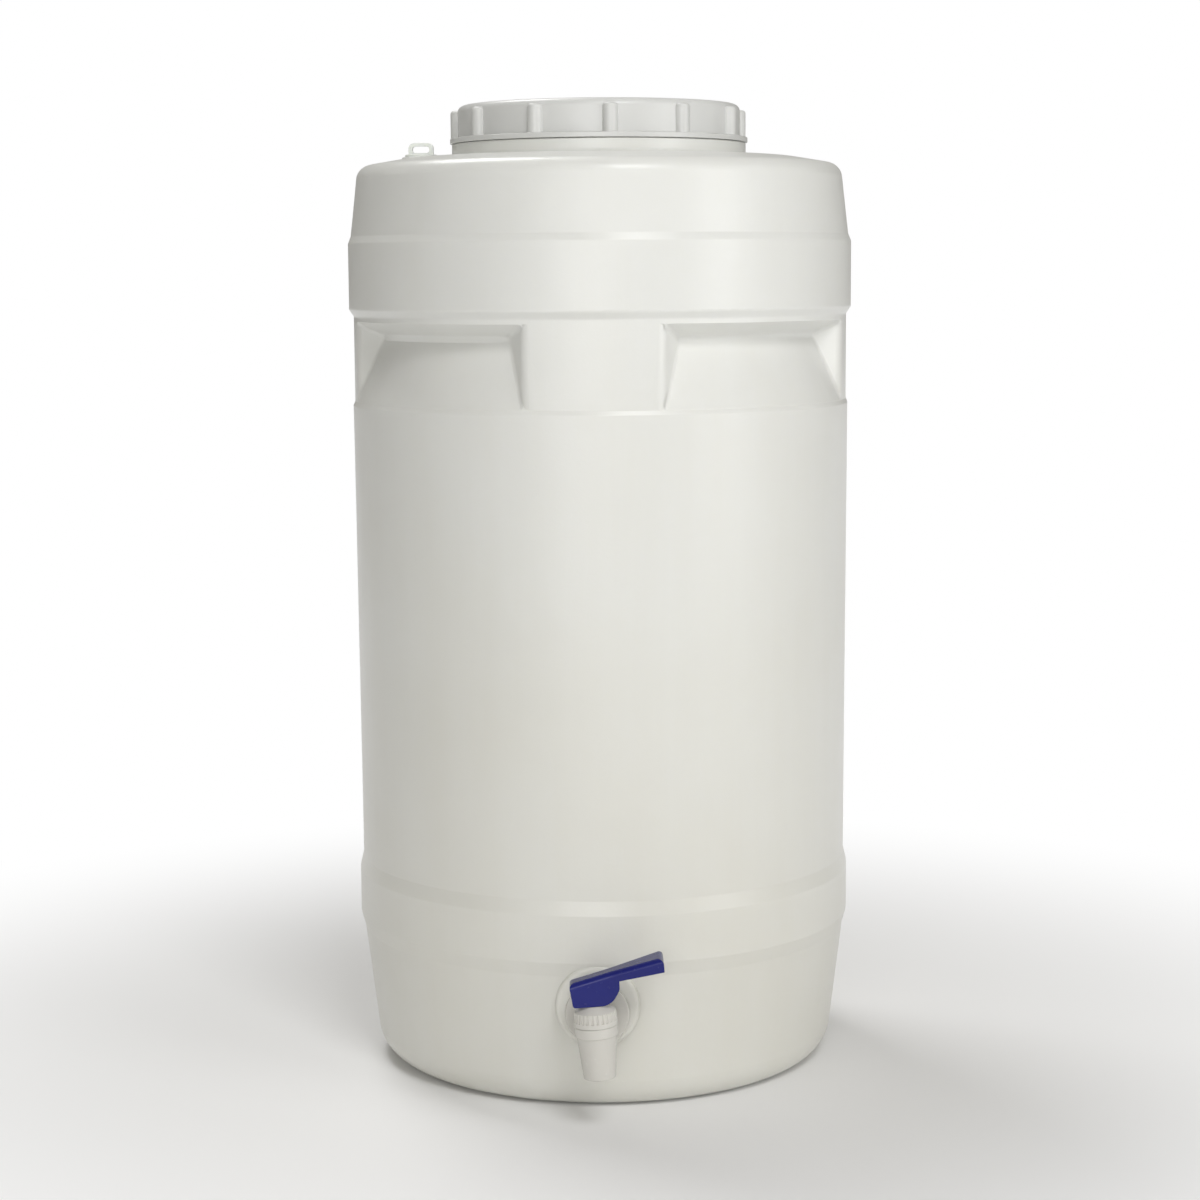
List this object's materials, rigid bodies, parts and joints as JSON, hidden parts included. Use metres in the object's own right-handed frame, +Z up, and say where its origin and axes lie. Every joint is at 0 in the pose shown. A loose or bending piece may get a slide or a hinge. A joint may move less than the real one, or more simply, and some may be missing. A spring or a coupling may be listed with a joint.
{
  "type": "carboy with spigot",
  "caption": "Tall round plastic carboy with a screw lid, moulded hand grips, a vent plug and a lever tap near its base, for storing and dispensing liquids.",
  "frame": {"origin": "on the floor, on the drum's axis, at the middle of its foot ring", "axes": "+Z up along the drum's axis, -Y to the front where the tap is, +X to the right as the tap is faced"},
  "size_m": [0.3646, 0.4121, 0.6963],
  "materials": {
    "drum": "natural translucent polyethylene, satin",
    "lid": "white polypropylene, satin",
    "lid_seal": "soft pale rubber",
    "vent_plug": "soft translucent polyethylene",
    "tap_body": "moulded white plastic",
    "tap_outer_washer": "pale silicone",
    "tap_inner_washer": "pale silicone",
    "tap_nut": "moulded white plastic",
    "tap_cap": "moulded white plastic",
    "stem_ring": "black rubber",
    "valve_seal": "pale silicone",
    "valve_stem": "moulded white plastic",
    "valve_spring": "stainless wire",
    "lever": "deep blue moulded plastic"
  },
  "bodies": {
    "drum": {"drum": "drum", "tap_body": "tap_body", "tap_outer_washer": "tap_outer_washer", "tap_inner_washer": "tap_inner_washer", "tap_nut": "tap_nut", "tap_cap": "tap_cap", "stem_ring": "stem_ring", "valve_spring": "valve_spring"},
    "lid_seal": {"lid_seal": "lid_seal"},
    "lid": {"lid": "lid"},
    "vent_plug": {"vent_plug": "vent_plug"},
    "valve_seal": {"valve_seal": "valve_seal"},
    "valve_stem": {"valve_stem": "valve_stem"},
    "lever": {"lever": "lever"}
  },
  "joints": [
    {"name": "lid_lift", "type": "slide", "parent": "drum", "child": "lid_seal", "axis": [0, 0, 1], "range_m": [0, 0.024]},
    {"name": "lid_turn", "type": "hinge", "parent": "lid_seal", "child": "lid", "pos_m": [0, 0, 0.691], "axis": [0, 0, 1], "range_deg": [0, 720]},
    {"name": "vent_plug_pull", "type": "slide", "parent": "drum", "child": "vent_plug", "axis": [0, 0, 1], "range_m": [0, 0.02]},
    {"name": "stem_lift", "type": "slide", "parent": "drum", "child": "valve_seal", "axis": [-0.0698, 0, 0.9976], "range_m": [0, 0.0035], "deforming": ["valve_spring"]},
    {"name": "lever_swivel", "type": "hinge", "parent": "valve_seal", "child": "valve_stem", "pos_m": [0, -0.215, 0.0745], "axis": [-0.0698, 0, 0.9976], "range_deg": [-205, 22]},
    {"name": "lever_tilt", "type": "hinge", "parent": "valve_stem", "child": "lever", "pos_m": [-0.00179, -0.215, 0.10014], "axis": [0.0348, -0.9994, 0.0024], "range_deg": [-40, 0], "stiffness_Nm_per_rad": 0.01, "springref_deg": 20.05}
  ],
  "couplings": [
    {"joint": "lid_lift", "follows": "lid_turn", "m_per_rad": 0.0019098},
    {"joint": "stem_lift", "follows": "lever_tilt", "m_per_rad": -0.005}
  ]
}
